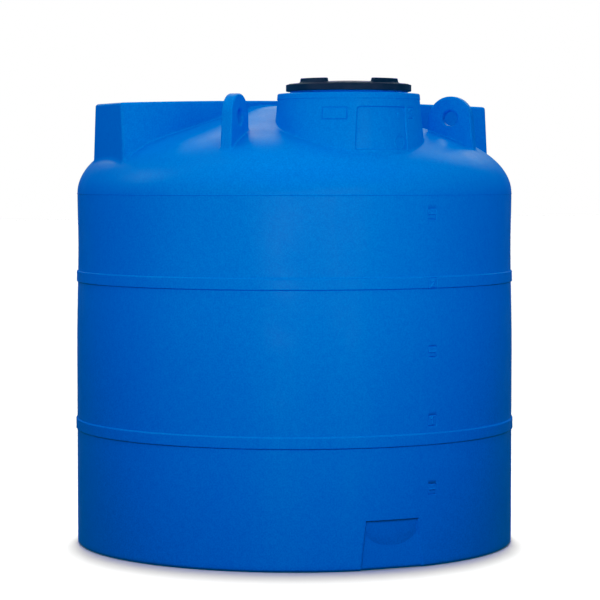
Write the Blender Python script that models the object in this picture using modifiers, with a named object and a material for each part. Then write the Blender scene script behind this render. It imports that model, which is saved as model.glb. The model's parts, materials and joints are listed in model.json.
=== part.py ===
"""Vertical polyethylene storage tank of about 3 cubic metres, with a screw lid and a screened vent.

The shell is a hollow moulding: a round body with two hoops, a domed roof with a hollow ridge right
across it, an offset manway neck, three lifting lugs and a flat for an outlet low on the front. It is
modelled as those simpler solids, a touch apart, so that each can be open where the moulding is open.
The lid screws over the neck's spigot onto a flat gasket and carries a small vent.

Metres. The origin is on the body's axis at the floor, +Z is up and the front is -Y.
"""

import math

import bmesh
import bpy
from mathutils import Matrix, Vector

COLLECTION = "storage_tank"

# Clearances between pieces.
TOUCH_GAP = 0.0003  # between faces that rest on each other
THREAD_CLEARANCE = 0.001  # radial, between the crests of the lid's and the spigot's threads
SLIP_CLEARANCE = 0.0005  # radial, where a tube passes through a hole
OVERCUT = 0.02  # how far a cutter runs past the face it opens

# Body.
WALL = 0.007
BODY_RADIUS = 0.816
BASE_EDGE = 0.012  # radius of the edge round the base
PARTING_HEIGHT = 1.306  # the mould's parting line, where the wall ends and the roof begins
SHOULDER_INSET = 0.0034  # how much smaller the wall is at the parting line
WAIST_INSET = 0.006  # and at the slight waist below it
WAIST_DROP = 0.182  # from the parting line to the waist

# Hoops round the body.
HOOP_HEIGHT = 0.044
HOOP_PROUD = 0.0044
HOOP_EDGE = 0.006
LOWER_HOOP = 0.449  # height of its middle
UPPER_HOOP_DROP = 0.308  # from the parting line to its middle

# Roof: part of an ellipse that runs into a cone, with a flat crown.
ROOF_REACH = 0.445
ROOF_RISE = 0.24
ROOF_SLOPE = math.radians(18)
CROWN_FLAT = 0.20
CROWN_EASE = 0.26  # radius of the curve between the cone and the flat crown

# Ridge across the roof, along X.
RIDGE_END_INSET = 0.069  # from the body's radius to the ridge's end
RIDGE_HALF_WIDTH = 0.132  # at the top
RIDGE_DRAFT = math.radians(5.6)
RIDGE_PROUD = 0.0057  # of the ends' top edge over the roof's crown
RIDGE_CROWN = 0.014  # how much higher the middle is
RIDGE_EDGE = 0.008

# Manway neck, in front of the ridge.
NECK_INSET = 0.357  # from the body's radius to the neck's axis
NECK_LEDGE = 0.0435  # the neck's flat top, from the spigot to its edge
NECK_DRAFT = math.radians(5.7)
NECK_PROUD = 0.0357  # of the top over the roof's crown
NECK_EDGE = 0.004
BAND_HEIGHT = 0.019
BAND_PROUD = 0.0018

# Threaded spigot on top of the neck.
SPIGOT_RADIUS = 0.209
SPIGOT_HEIGHT = 0.022
SPIGOT_WALL = 0.012
THREAD_HEIGHT = 0.003
THREAD_WIDTH = 0.004
THREAD_PITCH = 0.010

# Lifting lugs.
LUG_ANGLES = {"front_right": 45, "back": 180, "front_left": 315}  # round the body, from the front
LUG_INSET = 0.204  # from the body's radius to the hole
LUG_HEIGHT = 0.274  # of the hole over the parting line
LUG_RADIUS = 0.081  # of the round top
LUG_THICKNESS = 0.042
LUG_FLARE = math.radians(5.0)
LUG_HOLE_RADIUS = 0.0275
LUG_EDGE = 0.005

# Flat for an outlet.
OUTLET_FLAT_DEPTH = 0.016  # from the body's radius
OUTLET_FLAT_TOP_WIDTH = 0.206
OUTLET_FLAT_FOOT_WIDTH = 0.248
OUTLET_FLAT_HEIGHT = 0.175

# Lid.
LID_HEIGHT = 0.0235  # of the rim
LID_SKIRT_WALL = 0.0085
LID_PLATE = 0.005
LID_EDGE = 0.003
LID_STEP = 0.0025  # from the rim's top to the foot of the dome
LID_DOME_INSET = 0.008  # from the rim to the dome
LID_CROWN = 0.0122  # rise of the dome
LID_SKIRT_GAP = 0.009  # from the neck's top to the skirt

# Grips on the lid.
GRIP_ANGLES = (20, 110, 200, 290)
GRIP_SPAN = math.radians(40)
GRIP_RADIUS = 0.195  # outer
GRIP_WIDTH = 0.024
GRIP_HEIGHT = 0.021  # over the rim's top
GRIP_DRAFT = 0.003

# Lid gasket.
GASKET_THICKNESS = 0.004
GASKET_WIDTH = 0.009

# Vent in the lid.
VENT_OFFSET = 0.155  # from the lid's axis
VENT_ANGLE = 155  # round the lid, from the front
VENT_TUBE_RADIUS = 0.015
VENT_BORE_RADIUS = 0.011
VENT_TUBE_END = 0.004  # how far the tube runs past its nut
VENT_BRIDGE = 0.003  # width and height of the bars across the bore
VENT_BRIDGE_DROP = 0.0015  # from the flange's top to the bars
VENT_HUB_RADIUS = 0.0048
VENT_STEM_RADIUS = 0.0022
VENT_FLANGE_RADIUS = 0.025
VENT_FLANGE = 0.0022
VENT_GASKET_WIDTH = 0.007
VENT_GASKET = 0.0018
VENT_BOSS_MARGIN = 0.003
VENT_BOSS_PROUD = 0.0008  # over the dome, and under the lid's plate
VENT_MOUTH = 0.002  # height of the gap under the cap
VENT_CAP_OVERHANG = 0.002
VENT_CAP = 0.0028
VENT_NUT_ACROSS_FLATS = 0.040
VENT_NUT = 0.007
SCREEN_THICKNESS = 0.0008

ROUND_STEPS = 60
SMALL_STEPS = 28

# Heights and places that follow.
CONE_TURN = math.atan2(ROOF_RISE, ROOF_REACH * math.tan(ROOF_SLOPE))  # where the ellipse meets the cone
CONE_FOOT = BODY_RADIUS - SHOULDER_INSET - ROOF_REACH * (1 - math.cos(CONE_TURN))
CONE_END = CROWN_FLAT + CROWN_EASE * math.sin(ROOF_SLOPE)
CONE_TOP = PARTING_HEIGHT + ROOF_RISE * math.sin(CONE_TURN) + (CONE_FOOT - CONE_END) * math.tan(ROOF_SLOPE)
ROOF_TOP = CONE_TOP + CROWN_EASE * (1 - math.cos(ROOF_SLOPE))
UPPER_HOOP = PARTING_HEIGHT - UPPER_HOOP_DROP
WAIST = PARTING_HEIGHT - WAIST_DROP
RIDGE_HALF_LENGTH = BODY_RADIUS - RIDGE_END_INSET
RIDGE_TOP = ROOF_TOP + RIDGE_PROUD
NECK_AXIS = Vector((0.0, -(BODY_RADIUS - NECK_INSET), 0.0))
NECK_TOP = ROOF_TOP + NECK_PROUD
SPIGOT_TOP = NECK_TOP + SPIGOT_HEIGHT
SPIGOT_BORE = SPIGOT_RADIUS - SPIGOT_WALL
NECK_RADIUS = SPIGOT_RADIUS + NECK_LEDGE  # at the top
LUG_CENTRE_RADIUS = BODY_RADIUS - LUG_INSET
LUG_CENTRE_HEIGHT = PARTING_HEIGHT + LUG_HEIGHT
LID_UNDERSIDE = SPIGOT_TOP + GASKET_THICKNESS + 2 * TOUCH_GAP
LID_FOOT = NECK_TOP + LID_SKIRT_GAP
LID_RIM_TOP = LID_FOOT + LID_HEIGHT
LID_THREAD = SPIGOT_RADIUS + THREAD_HEIGHT + THREAD_CLEARANCE
LID_BORE = LID_THREAD + THREAD_HEIGHT
LID_RADIUS = LID_BORE + LID_SKIRT_WALL
LID_DOME_RADIUS = LID_RADIUS - LID_DOME_INSET
VENT_BOSS_RADIUS = VENT_FLANGE_RADIUS + VENT_BOSS_MARGIN

MATERIALS = {
    "tank_blue": ((0.0, 0.15, 0.60), 0.42),
    "lid_black": ((0.014, 0.024, 0.048), 0.45),
    "vent_black": ((0.012, 0.014, 0.018), 0.40),
    "gasket_rubber": ((0.02, 0.02, 0.02), 0.75),
    "screen_mesh": ((0.30, 0.31, 0.32), 0.50),
}


def make_material(name):
    colour, roughness = MATERIALS[name]
    material = bpy.data.materials.new(name)
    material.use_nodes = True
    shader = material.node_tree.nodes["Principled BSDF"]
    shader.inputs["Base Color"].default_value = (*colour, 1.0)
    shader.inputs["Roughness"].default_value = roughness
    shader.inputs["Metallic"].default_value = 0.0
    return material


def add_object(name, mesh, collection):
    obj = bpy.data.objects.new(name, mesh)
    collection.objects.link(obj)
    return obj


def mesh_object(name, bm, collection):
    if bm.calc_volume(signed=True) < 0:
        bmesh.ops.reverse_faces(bm, faces=bm.faces[:])
    mesh = bpy.data.meshes.new(name)
    bm.to_mesh(mesh)
    bm.free()
    return add_object(name, mesh, collection)


def turned(name, profile, collection, centre=(0, 0, 0), steps=ROUND_STEPS, closed=False):
    """A profile of (radius, height) points, turned about a vertical axis. Its outside runs top to bottom."""
    edges = [(i, i + 1) for i in range(len(profile) - 1)]
    if closed:
        edges.append((len(profile) - 1, 0))
    mesh = bpy.data.meshes.new(name)
    mesh.from_pydata([(r, 0.0, z) for r, z in profile], edges, [])
    obj = add_object(name, mesh, collection)
    obj.location = centre
    screw = obj.modifiers.new("Turn", "SCREW")
    screw.axis = "Z"
    screw.steps = steps
    screw.render_steps = steps
    screw.use_merge_vertices = True
    screw.merge_threshold = 0.0001
    screw.use_smooth_shade = True
    return obj


def cylinder(name, collection, radius, depth, matrix, steps=SMALL_STEPS):
    bm = bmesh.new()
    bmesh.ops.create_cone(
        bm, cap_ends=True, segments=steps, radius1=radius, radius2=radius, depth=depth, matrix=matrix
    )
    return mesh_object(name, bm, collection)


def upright(name, collection, radius, low, high, centre, steps=SMALL_STEPS):
    """A vertical cylinder between two heights."""
    place = Matrix.Translation(Vector((centre.x, centre.y, (low + high) / 2)))
    return cylinder(name, collection, radius, high - low, place, steps)


def extruded(name, collection, outline, thickness, matrix):
    """A flat outline as a solid plate, its outline in the matrix's X and Y and its thickness along Z."""
    curve = bpy.data.curves.new(name, "CURVE")
    curve.dimensions = "2D"
    curve.fill_mode = "BOTH"
    curve.extrude = thickness / 2
    spline = curve.splines.new("POLY")
    spline.points.add(len(outline) - 1)
    for point, (x, y) in zip(spline.points, outline):
        point.co = (x, y, 0.0, 1.0)
    spline.use_cyclic_u = True
    drawn = bpy.data.objects.new(name, curve)
    collection.objects.link(drawn)
    drawn.matrix_world = matrix
    bpy.context.view_layer.update()
    mesh = bpy.data.meshes.new_from_object(drawn.evaluated_get(bpy.context.evaluated_depsgraph_get()))
    bpy.data.objects.remove(drawn)
    bm = bmesh.new()
    bm.from_mesh(mesh)
    bmesh.ops.remove_doubles(bm, verts=bm.verts[:], dist=0.00001)
    obj = mesh_object(name, bm, collection)
    obj.matrix_world = matrix
    return obj


def bevel(obj, width, segments=2):
    modifier = obj.modifiers.new("Edges", "BEVEL")
    modifier.width = width
    modifier.segments = segments
    modifier.limit_method = "ANGLE"
    modifier.angle_limit = math.radians(40)


def combine(obj, other, operation):
    modifier = obj.modifiers.new(other.name, "BOOLEAN")
    modifier.operation = operation
    modifier.solver = "EXACT"
    modifier.object = other


def round_front(angle):
    """The outward direction at an angle round the body from the front, counter-clockwise from above."""
    turn = math.radians(angle)
    return Vector((math.sin(turn), -math.cos(turn), 0.0))


# Outlines.


def wall_radius(height):
    """The wall's outer radius, without its hoops."""
    start = (LOWER_HOOP + UPPER_HOOP) / 2
    if height <= start:
        return BODY_RADIUS
    if height <= WAIST:
        return BODY_RADIUS - WAIST_INSET * (height - start) / (WAIST - start)
    share = (height - WAIST) / (PARTING_HEIGHT - WAIST)
    return BODY_RADIUS - WAIST_INSET + share * (WAIST_INSET - SHOULDER_INSET)


def hoop_points(middle):
    """A hoop's outline, top to bottom."""
    top = middle + HOOP_HEIGHT / 2
    foot = middle - HOOP_HEIGHT / 2
    proud = wall_radius(middle) + HOOP_PROUD
    return [
        (wall_radius(top), top),
        (proud, top - HOOP_EDGE),
        (proud, foot + HOOP_EDGE),
        (wall_radius(foot), foot),
    ]


def roof_profile(inset=0.0):
    """The roof's outline from its axis to the parting line, moved in by an inset."""
    edge = BODY_RADIUS - SHOULDER_INSET - inset
    reach = ROOF_REACH - inset
    rise = ROOF_RISE - inset
    steps = 6
    end = math.atan2(rise, reach * math.tan(ROOF_SLOPE))
    shoulder = []
    for step in range(steps + 1):
        turn = end * step / steps
        shoulder.append((edge - reach * (1 - math.cos(turn)), rise * math.sin(turn)))
    cone_foot, cone_height = shoulder[-1]
    cone_end = CROWN_FLAT + CROWN_EASE * math.sin(ROOF_SLOPE)
    cone_top = cone_height + (cone_foot - cone_end) * math.tan(ROOF_SLOPE)
    crown = []
    for step in range(3):
        turn = ROOF_SLOPE * step / 2
        rise_left = CROWN_EASE * (math.cos(turn) - math.cos(ROOF_SLOPE))
        crown.append((CROWN_FLAT + CROWN_EASE * math.sin(turn), cone_top + rise_left))
    points = [(0.0, crown[0][1])] + crown + shoulder[::-1]
    return [(r, PARTING_HEIGHT + z) for r, z in points]


def roof_height(radius, inset=0.0):
    """The roof's height at a distance from the body's axis."""
    points = roof_profile(inset)
    for (r0, z0), (r1, z1) in zip(points, points[1:]):
        if r0 <= radius <= r1:
            return z0 + (z1 - z0) * (radius - r0) / (r1 - r0)
    return PARTING_HEIGHT


def base_corner(radius, height):
    """The rounded edge between the wall and the base, top to bottom."""
    turns = [math.radians(angle) for angle in (0, 45, 90)]
    flat = radius - BASE_EDGE
    return [(flat + BASE_EDGE * math.cos(t), height + BASE_EDGE * (1 - math.sin(t))) for t in turns]


def wall_profile():
    """The body's outside, from the parting line down to the base."""
    top = PARTING_HEIGHT - TOUCH_GAP
    points = [(0.0, top), (wall_radius(top), top), (wall_radius(WAIST), WAIST)]
    points += hoop_points(UPPER_HOOP)
    points += hoop_points(LOWER_HOOP)
    points += base_corner(BODY_RADIUS, 0.0)
    points.append((0.0, 0.0))
    return points


def wall_hollow_profile():
    top = PARTING_HEIGHT + OVERCUT
    points = [(0.0, top)]
    for height in (PARTING_HEIGHT, WAIST, (LOWER_HOOP + UPPER_HOOP) / 2):
        points.append((wall_radius(height) - WALL, height))
    points.insert(1, (points[1][0], top))
    points += base_corner(BODY_RADIUS - WALL, WALL)
    points.append((0.0, WALL))
    return points


def neck_radius(height):
    return NECK_RADIUS + (NECK_TOP - height) * math.tan(NECK_DRAFT)


def neck_foot():
    """A height under the roof all round the neck, where its walls may end."""
    reach = -NECK_AXIS.y + neck_radius(PARTING_HEIGHT)
    return (roof_height(reach, WALL) + PARTING_HEIGHT) / 2


def neck_seat_profile():
    """The room that the neck takes in the roof."""
    points = [(neck_radius(z) + TOUCH_GAP, z) for z in (NECK_TOP, neck_foot() - OVERCUT)]
    return [(0.0, NECK_TOP)] + points + [(0.0, points[-1][1])]


def neck_profile():
    """The outside of the neck and its spigot, down to a foot inside the roof."""
    chamfer = THREAD_HEIGHT / 2
    points = [(0.0, SPIGOT_TOP), (SPIGOT_RADIUS - chamfer, SPIGOT_TOP), (SPIGOT_RADIUS, SPIGOT_TOP - chamfer)]
    for turn in range(2):
        top = SPIGOT_TOP - THREAD_HEIGHT - turn * THREAD_PITCH
        points.append((SPIGOT_RADIUS, top))
        points.append((SPIGOT_RADIUS + THREAD_HEIGHT, top - THREAD_WIDTH / 2))
        points.append((SPIGOT_RADIUS, top - THREAD_WIDTH))
    points.append((SPIGOT_RADIUS, NECK_TOP))
    points.append((NECK_RADIUS + BAND_PROUD - NECK_EDGE, NECK_TOP))
    points.append((neck_radius(NECK_TOP - NECK_EDGE) + BAND_PROUD, NECK_TOP - NECK_EDGE))
    band = NECK_TOP - BAND_HEIGHT
    points.append((neck_radius(band) + BAND_PROUD, band))
    points.append((neck_radius(band - BAND_PROUD), band - BAND_PROUD))
    foot = neck_foot()
    points.append((neck_radius(foot), foot))
    points.append((0.0, foot))
    return points


def neck_hollow_profile():
    foot = neck_foot() - OVERCUT
    ceiling = NECK_TOP - WALL
    return [
        (0.0, SPIGOT_TOP + OVERCUT),
        (SPIGOT_BORE, SPIGOT_TOP + OVERCUT),
        (SPIGOT_BORE, ceiling),
        (neck_radius(ceiling) - WALL, ceiling),
        (neck_radius(foot) - WALL, foot),
        (0.0, foot),
    ]


def lid_dome(radius):
    """The height of the lid's domed top."""
    share = radius / LID_DOME_RADIUS
    return LID_RIM_TOP + LID_STEP + LID_CROWN * (1 - share * share)


def lid_profile():
    """The lid's top, rim, threaded skirt and underside."""
    points = [(r, lid_dome(r)) for r in [LID_DOME_RADIUS * step / 4 for step in range(5)]]
    points.append((LID_RADIUS - LID_EDGE, LID_RIM_TOP))
    points.append((LID_RADIUS, LID_RIM_TOP - LID_EDGE))
    points.append((LID_RADIUS, LID_FOOT))
    points.append((LID_BORE, LID_FOOT))
    foot = LID_FOOT + THREAD_HEIGHT / 2
    points.append((LID_BORE, foot))
    points.append((LID_THREAD, foot + THREAD_WIDTH / 2))
    points.append((LID_BORE, foot + THREAD_WIDTH))
    points.append((LID_BORE, LID_UNDERSIDE))
    seat = SPIGOT_BORE - SPIGOT_WALL
    points.append((seat, LID_UNDERSIDE))
    for step in (3, 2, 1, 0):
        radius = seat * step / 3
        points.append((radius, lid_dome(radius) - LID_PLATE))
    return points


# Solids.


def block(name, collection, shape, cuts=0):
    """A cube whose corners, given as -1 to 1 along, across and up, are placed by a rule."""
    bm = bmesh.new()
    bmesh.ops.create_cube(bm, size=2.0)
    if cuts:
        along = [e for e in bm.edges if abs(e.verts[0].co.x - e.verts[1].co.x) > 1]
        bmesh.ops.subdivide_edges(bm, edges=along, cuts=cuts, use_grid_fill=True)
    for vert in bm.verts:
        vert.co = shape(*vert.co)
    return mesh_object(name, bm, collection)


def roof_solid(name, collection, inset=0.0, below=0.0):
    """All that lies under the roof, down to a foot below the parting line. An inset makes its hollow."""
    outline = roof_profile(inset)
    if below:
        outline.append((outline[-1][0], PARTING_HEIGHT - below))
    outline.append((0.0, outline[-1][1]))
    return turned(name, outline, collection)


def ridge_block(name, collection, inset=0.0):
    """The ridge, with drafted sides and a slightly arched top. An inset makes its hollow."""
    corner = math.hypot(RIDGE_HALF_LENGTH, RIDGE_HALF_WIDTH)
    foot = (PARTING_HEIGHT + roof_height(corner, WALL)) / 2 + inset

    def shape(along, across, up):
        top = RIDGE_TOP + RIDGE_CROWN * (1 - along * along) - inset
        height = top if up > 0 else foot
        half_width = RIDGE_HALF_WIDTH - inset + (RIDGE_TOP - height) * math.tan(RIDGE_DRAFT)
        return along * (RIDGE_HALF_LENGTH - inset), across * half_width, height

    return block(name, collection, shape, cuts=7)


def outlet_block(name, collection, inset):
    """Cuts the outlet's flat into the wall. With the wall as inset, it keeps the hollow clear of it."""
    slope = (OUTLET_FLAT_FOOT_WIDTH - OUTLET_FLAT_TOP_WIDTH) / 2 / OUTLET_FLAT_HEIGHT
    flat = -(BODY_RADIUS - OUTLET_FLAT_DEPTH) + inset

    def shape(along, across, up):
        height = OUTLET_FLAT_HEIGHT + inset if up > 0 else -OVERCUT
        half_width = OUTLET_FLAT_TOP_WIDTH / 2 + inset + (OUTLET_FLAT_HEIGHT - height) * slope
        depth = flat if across > 0 else -(BODY_RADIUS + OVERCUT)
        return along * half_width, depth, height

    return block(name, collection, shape)


def lug_place(angle):
    """The frame of a lug: X outwards, Y up and Z along its hole, at the hole's centre."""
    out = round_front(angle)
    up = Vector((0.0, 0.0, 1.0))
    turn = Matrix((out, up, out.cross(up))).transposed().to_4x4()
    return Matrix.Translation(out * LUG_CENTRE_RADIUS + up * LUG_CENTRE_HEIGHT) @ turn


def lug_plate(name, collection, angle):
    """A radial plate with a round top, flaring down into the roof."""
    foot = roof_height(LUG_CENTRE_RADIUS + LUG_RADIUS, WALL) - WALL / 2 - LUG_CENTRE_HEIGHT
    spread = LUG_RADIUS - foot * math.tan(LUG_FLARE)
    turns = [math.pi * step / 10 for step in range(11)]
    outline = [(LUG_RADIUS * math.cos(turn), LUG_RADIUS * math.sin(turn)) for turn in turns]
    outline += [(-spread, foot), (spread, foot)]
    return extruded(name, collection, outline, LUG_THICKNESS, lug_place(angle))


def grip_block(name, collection, angle):
    """An arc-shaped grip, drafted on every side, sunk a little into the lid."""
    foot = lid_dome(GRIP_RADIUS) - LID_PLATE / 4
    middle = math.radians(angle)

    def shape(along, across, up):
        draft = GRIP_DRAFT if up > 0 else 0.0
        radius = GRIP_RADIUS - GRIP_WIDTH / 2 + across * (GRIP_WIDTH / 2 - draft)
        turn = middle + along * (GRIP_SPAN / 2 - draft / GRIP_RADIUS)
        height = LID_RIM_TOP + GRIP_HEIGHT if up > 0 else foot
        return radius * math.sin(turn), NECK_AXIS.y - radius * math.cos(turn), height

    return block(name, collection, shape, cuts=5)


# Pieces.


def make_body(parts, cutters):
    body = turned("tank_body", wall_profile(), parts)
    hollow = turned("body_hollow", wall_hollow_profile(), cutters)
    combine(hollow, outlet_block("outlet_inside", cutters, WALL), "DIFFERENCE")
    combine(body, hollow, "DIFFERENCE")
    combine(body, outlet_block("outlet_outside", cutters, 0.0), "DIFFERENCE")
    return body


def make_roof(parts, cutters, hollow):
    roof = roof_solid("tank_roof", parts)
    combine(roof, hollow, "DIFFERENCE")
    ridge = ridge_block("ridge_seat", cutters, -TOUCH_GAP)
    bevel(ridge, RIDGE_EDGE)
    combine(roof, ridge, "DIFFERENCE")
    combine(roof, turned("neck_seat", neck_seat_profile(), cutters, NECK_AXIS), "DIFFERENCE")
    return roof


def make_ridge(parts, cutters, hollow):
    ridge = ridge_block("tank_ridge", parts)
    bevel(ridge, RIDGE_EDGE)
    combine(ridge, ridge_block("ridge_hollow", cutters, WALL), "DIFFERENCE")
    combine(ridge, hollow, "DIFFERENCE")
    return ridge


def make_neck(parts, cutters, hollow):
    neck = turned("tank_neck", neck_profile(), parts, NECK_AXIS)
    combine(neck, hollow, "DIFFERENCE")
    neck_hollow = turned("neck_hollow", neck_hollow_profile(), cutters, NECK_AXIS)
    neck_hollow.rotation_euler.z = math.pi / ROUND_STEPS  # its corners lie between the spigot's
    combine(neck, neck_hollow, "DIFFERENCE")
    return neck


def make_lug(name, angle, parts, cutters, seat):
    """A solid lug that stands on the roof, with a hole through it."""
    lug = lug_plate(name, parts, angle)
    bevel(lug, LUG_EDGE, 1)
    combine(lug, seat, "DIFFERENCE")
    depth = LUG_THICKNESS + 2 * OVERCUT
    hole = cylinder(f"{name}_hole", cutters, LUG_HOLE_RADIUS, depth, lug_place(angle), 20)
    combine(lug, hole, "DIFFERENCE")
    return lug


def vent_place():
    return NECK_AXIS + round_front(VENT_ANGLE) * VENT_OFFSET


def vent_seat():
    """The height of the flat boss under the vent's flange, clear of the dome beside it."""
    return lid_dome(VENT_OFFSET - VENT_BOSS_RADIUS) + VENT_BOSS_PROUD


def vent_underside():
    """The height of the flat under the lid that the vent's nut bears on."""
    return lid_dome(VENT_OFFSET + VENT_BOSS_RADIUS) - LID_PLATE - VENT_BOSS_PROUD


def vent_flange_top():
    return vent_seat() + VENT_GASKET + 2 * TOUCH_GAP + VENT_FLANGE


def make_lid(parts, cutters):
    lid = turned("manhole_lid", lid_profile(), parts, NECK_AXIS)
    for angle in GRIP_ANGLES:
        combine(lid, grip_block(f"grip_{angle}", cutters, angle), "UNION")
    seat = vent_seat()
    under = vent_underside()
    boss = upright("vent_boss", cutters, VENT_BOSS_RADIUS, under, seat, vent_place())
    combine(lid, boss, "UNION")
    hole_radius = VENT_TUBE_RADIUS + SLIP_CLEARANCE
    hole = upright("vent_hole", cutters, hole_radius, under - OVERCUT, seat + OVERCUT, vent_place())
    combine(lid, hole, "DIFFERENCE")
    return lid


def make_lid_gasket(parts):
    outer = SPIGOT_RADIUS - THREAD_HEIGHT / 2
    inner = outer - GASKET_WIDTH
    low = SPIGOT_TOP + TOUCH_GAP
    high = low + GASKET_THICKNESS
    outline = [(outer, high), (outer, low), (inner, low), (inner, high)]
    return turned("lid_gasket", outline, parts, NECK_AXIS, closed=True)


def make_vent_body(parts, cutters):
    top = vent_flange_top()
    under_flange = top - VENT_FLANGE
    end = vent_underside() - VENT_NUT - VENT_TUBE_END
    outline = [
        (VENT_FLANGE_RADIUS, top),
        (VENT_FLANGE_RADIUS, under_flange),
        (VENT_TUBE_RADIUS, under_flange),
        (VENT_TUBE_RADIUS, end),
        (VENT_BORE_RADIUS, end),
        (VENT_BORE_RADIUS, top),
    ]
    body = turned("vent_body", outline, parts, vent_place(), SMALL_STEPS, closed=True)
    bar_top = top - VENT_BRIDGE_DROP
    bar_foot = bar_top - VENT_BRIDGE
    centre = vent_place()
    reach = (VENT_BORE_RADIUS + VENT_TUBE_RADIUS) / 2
    for index in range(2):
        turn = Matrix.Rotation(math.radians(90 * index), 3, "Z")

        def shape(along, across, up, turn=turn):
            flat = turn @ Vector((along * reach, across * VENT_BRIDGE / 2, 0.0))
            return centre.x + flat.x, centre.y + flat.y, bar_top if up > 0 else bar_foot

        combine(body, block(f"vent_bar_{index}", cutters, shape), "UNION")
    hub = upright("vent_hub", cutters, VENT_HUB_RADIUS, bar_foot, bar_top, centre, 16)
    combine(body, hub, "UNION")
    hole_radius = VENT_STEM_RADIUS + SLIP_CLEARANCE
    hole = upright("vent_stem_hole", cutters, hole_radius, bar_foot - OVERCUT, bar_top + OVERCUT, centre, 16)
    combine(body, hole, "DIFFERENCE")
    return body


def make_vent_gasket(parts):
    low = vent_seat() + TOUCH_GAP
    high = low + VENT_GASKET
    inner = VENT_TUBE_RADIUS + SLIP_CLEARANCE
    outer = inner + VENT_GASKET_WIDTH
    outline = [(outer, high), (outer, low), (inner, low), (inner, high)]
    return turned("vent_gasket", outline, parts, vent_place(), SMALL_STEPS, closed=True)


def make_vent_nut(parts, cutters):
    high = vent_underside() - TOUCH_GAP
    low = high - VENT_NUT
    nut = upright("vent_nut", parts, VENT_NUT_ACROSS_FLATS / math.sqrt(3), low, high, vent_place(), 6)
    radius = VENT_TUBE_RADIUS + SLIP_CLEARANCE
    hole = upright("vent_nut_hole", cutters, radius, low - OVERCUT, high + OVERCUT, vent_place())
    combine(nut, hole, "DIFFERENCE")
    return nut


def make_vent_screen(parts):
    low = vent_flange_top() - VENT_BRIDGE_DROP + TOUCH_GAP
    high = low + SCREEN_THICKNESS
    inner = VENT_STEM_RADIUS + SLIP_CLEARANCE
    outer = VENT_BORE_RADIUS - SLIP_CLEARANCE
    outline = [(outer, high), (outer, low), (inner, low), (inner, high)]
    return turned("vent_screen", outline, parts, vent_place(), SMALL_STEPS, closed=True)


def make_vent_cap(parts):
    """A flat cap over the vent's mouth, on a stem that is pressed into the hub below."""
    low = vent_flange_top() + VENT_MOUTH
    high = low + VENT_CAP
    edge = VENT_FLANGE_RADIUS + VENT_CAP_OVERHANG
    stem_end = vent_flange_top() - VENT_BRIDGE_DROP - VENT_BRIDGE - VENT_MOUTH
    outline = [
        (0.0, high),
        (edge - VENT_CAP, high),
        (edge, low + VENT_CAP / 3),
        (edge, low),
        (VENT_STEM_RADIUS, low),
        (VENT_STEM_RADIUS, stem_end),
        (0.0, stem_end),
    ]
    return turned("vent_cap", outline, parts, vent_place(), SMALL_STEPS)


def main():
    for obj in list(bpy.data.objects):
        bpy.data.objects.remove(obj)
    parts = bpy.data.collections.new(COLLECTION)
    cutters = bpy.data.collections.new("cutters")
    for collection in (parts, cutters):
        bpy.context.scene.collection.children.link(collection)
    hollow = roof_solid("roof_hollow", cutters, WALL, OVERCUT)
    seat = roof_solid("roof_seat", cutters, -TOUCH_GAP, OVERCUT)
    shell = [
        make_body(parts, cutters),
        make_roof(parts, cutters, hollow),
        make_ridge(parts, cutters, hollow),
        make_neck(parts, cutters, hollow),
    ]
    shell += [make_lug(f"lug_{name}", turn, parts, cutters, seat) for name, turn in LUG_ANGLES.items()]
    lid_pieces = {
        make_lid(parts, cutters): "lid_black",
        make_lid_gasket(parts): "gasket_rubber",
        make_vent_body(parts, cutters): "vent_black",
        make_vent_gasket(parts): "gasket_rubber",
        make_vent_nut(parts, cutters): "vent_black",
        make_vent_screen(parts): "screen_mesh",
        make_vent_cap(parts): "vent_black",
    }
    materials = {name: make_material(name) for name in MATERIALS}
    for obj in shell:
        obj.data.materials.append(materials["tank_blue"])
    for cutter in cutters.objects:
        cutter.hide_render = True
        cutter.display_type = "WIRE"
    lift = bpy.data.objects.new("lid_axis", None)
    lift.location = NECK_AXIS
    parts.objects.link(lift)
    for obj, name in lid_pieces.items():
        obj.data.materials.append(materials[name])
        obj.parent = lift
        obj.matrix_parent_inverse = Matrix.Translation(-NECK_AXIS)


main()
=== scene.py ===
"""Looks for the storage tank: a fine moulded shell, screw lid and vent, a plain studio and a camera.

Metres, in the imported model's frame: the origin is on the body's axis at the floor, +Z is up and the
front is -Y. The sizes of the shell, lid and vent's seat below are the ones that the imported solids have.
"""

import json
import math

import bpy
import numpy as np
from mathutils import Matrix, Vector

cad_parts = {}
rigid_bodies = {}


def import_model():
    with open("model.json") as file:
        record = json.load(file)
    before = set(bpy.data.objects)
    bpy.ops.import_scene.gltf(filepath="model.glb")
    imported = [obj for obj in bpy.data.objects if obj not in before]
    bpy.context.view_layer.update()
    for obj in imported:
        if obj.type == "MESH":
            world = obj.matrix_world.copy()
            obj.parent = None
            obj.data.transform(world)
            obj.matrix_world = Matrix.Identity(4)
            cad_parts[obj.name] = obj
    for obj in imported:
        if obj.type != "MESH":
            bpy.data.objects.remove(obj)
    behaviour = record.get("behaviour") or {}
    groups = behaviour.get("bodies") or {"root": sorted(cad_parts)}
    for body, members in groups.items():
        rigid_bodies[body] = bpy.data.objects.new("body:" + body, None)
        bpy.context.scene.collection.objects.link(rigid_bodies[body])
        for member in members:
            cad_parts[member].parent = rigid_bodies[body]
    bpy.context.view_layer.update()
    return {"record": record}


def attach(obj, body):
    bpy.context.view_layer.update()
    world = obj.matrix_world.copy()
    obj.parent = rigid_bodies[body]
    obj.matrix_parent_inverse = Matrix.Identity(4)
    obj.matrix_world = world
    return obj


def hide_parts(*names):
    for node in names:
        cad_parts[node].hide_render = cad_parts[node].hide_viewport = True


# Body.
WALL = 0.007
BODY_RADIUS = 0.816
BASE_EDGE = 0.012
PARTING = 1.306  # height of the mould's parting line
SHOULDER_INSET = 0.0034
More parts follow.
